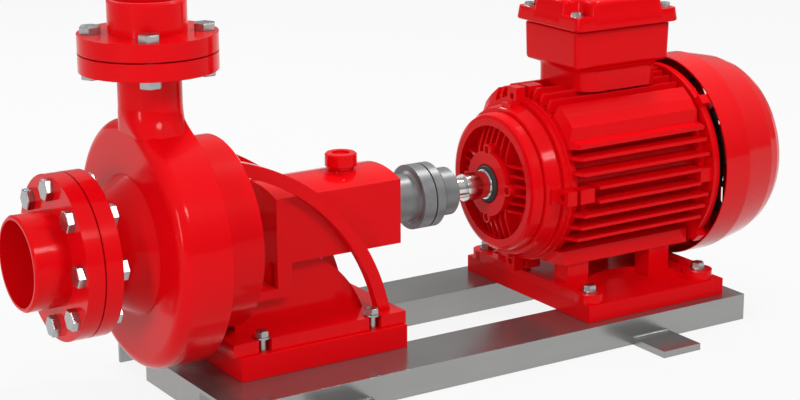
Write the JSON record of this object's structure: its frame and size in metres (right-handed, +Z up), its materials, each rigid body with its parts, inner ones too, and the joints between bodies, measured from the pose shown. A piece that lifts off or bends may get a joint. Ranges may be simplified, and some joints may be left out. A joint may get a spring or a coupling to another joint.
{
  "type": "end-suction fire pump set",
  "caption": "Red end-suction fire pump with volute casing, bearing bracket and flexible coupling, driven by a finned electric motor on a grey channel-steel base.",
  "frame": {"origin": "centre of the footprint, at floor level under the base", "axes": "+Z up, shaft along X with the suction end at -X and the motor at +X, discharge pointing to +Z"},
  "size_m": [1.2374, 0.507, 0.5735],
  "materials": {
    "red_paint": "gloss",
    "base_grey": "satin",
    "coupling_grey": "satin",
    "iron_grey": "rough",
    "zinc_bolt": "satin",
    "bright_steel": "polished",
    "gasket_black": "matt",
    "fan_black": "matt"
  },
  "bodies": {
    "stator": {"anchor_lugs_far": "base_grey", "anchor_lugs_near": "base_grey", "bearing_bracket": "red_paint", "bearing_cap_screws": "zinc_bolt", "cable_entry_plugs": "zinc_bolt", "casing_cover": "red_paint", "cross_member_front": "base_grey", "cross_member_rear": "base_grey", "discharge_bolts": "zinc_bolt", "discharge_counter_flange": "red_paint", "discharge_gasket": "gasket_black", "drive_end_shield": "red_paint", "fan_cowl": "red_paint", "gland_nuts": "zinc_bolt", "motor_bearing_cap": "red_paint", "motor_foot_bolts": "zinc_bolt", "motor_frame": "red_paint", "motor_plinth": "red_paint", "oil_filler_cap": "red_paint", "pump_foot_bolts": "zinc_bolt", "pump_plinth": "red_paint", "rail_far": "base_grey", "rail_near": "base_grey", "rear_end_shield": "red_paint", "seal_gland": "iron_grey", "suction_bolts": "zinc_bolt", "suction_counter_flange": "red_paint", "suction_gasket": "gasket_black", "terminal_box": "red_paint", "terminal_box_lid": "red_paint", "terminal_box_pedestal": "red_paint", "terminal_lid_screws": "zinc_bolt", "volute_casing": "red_paint"},
    "rotor": {"impeller": "iron_grey", "impeller_nut": "bright_steel", "pump_shaft": "bright_steel", "coupling_half_pump": "coupling_grey", "coupling_half_motor": "coupling_grey", "coupling_element": "gasket_black", "motor_shaft": "bright_steel", "fan": "fan_black", "bearing_seal": "gasket_black", "motor_shaft_seal": "gasket_black"}
  },
  "joints": [
    {"name": "shaft_turn", "type": "hinge", "parent": "stator", "child": "rotor", "pos_m": [0, 0, 0.235], "axis": [1, 0, 0], "continuous": true}
  ]
}
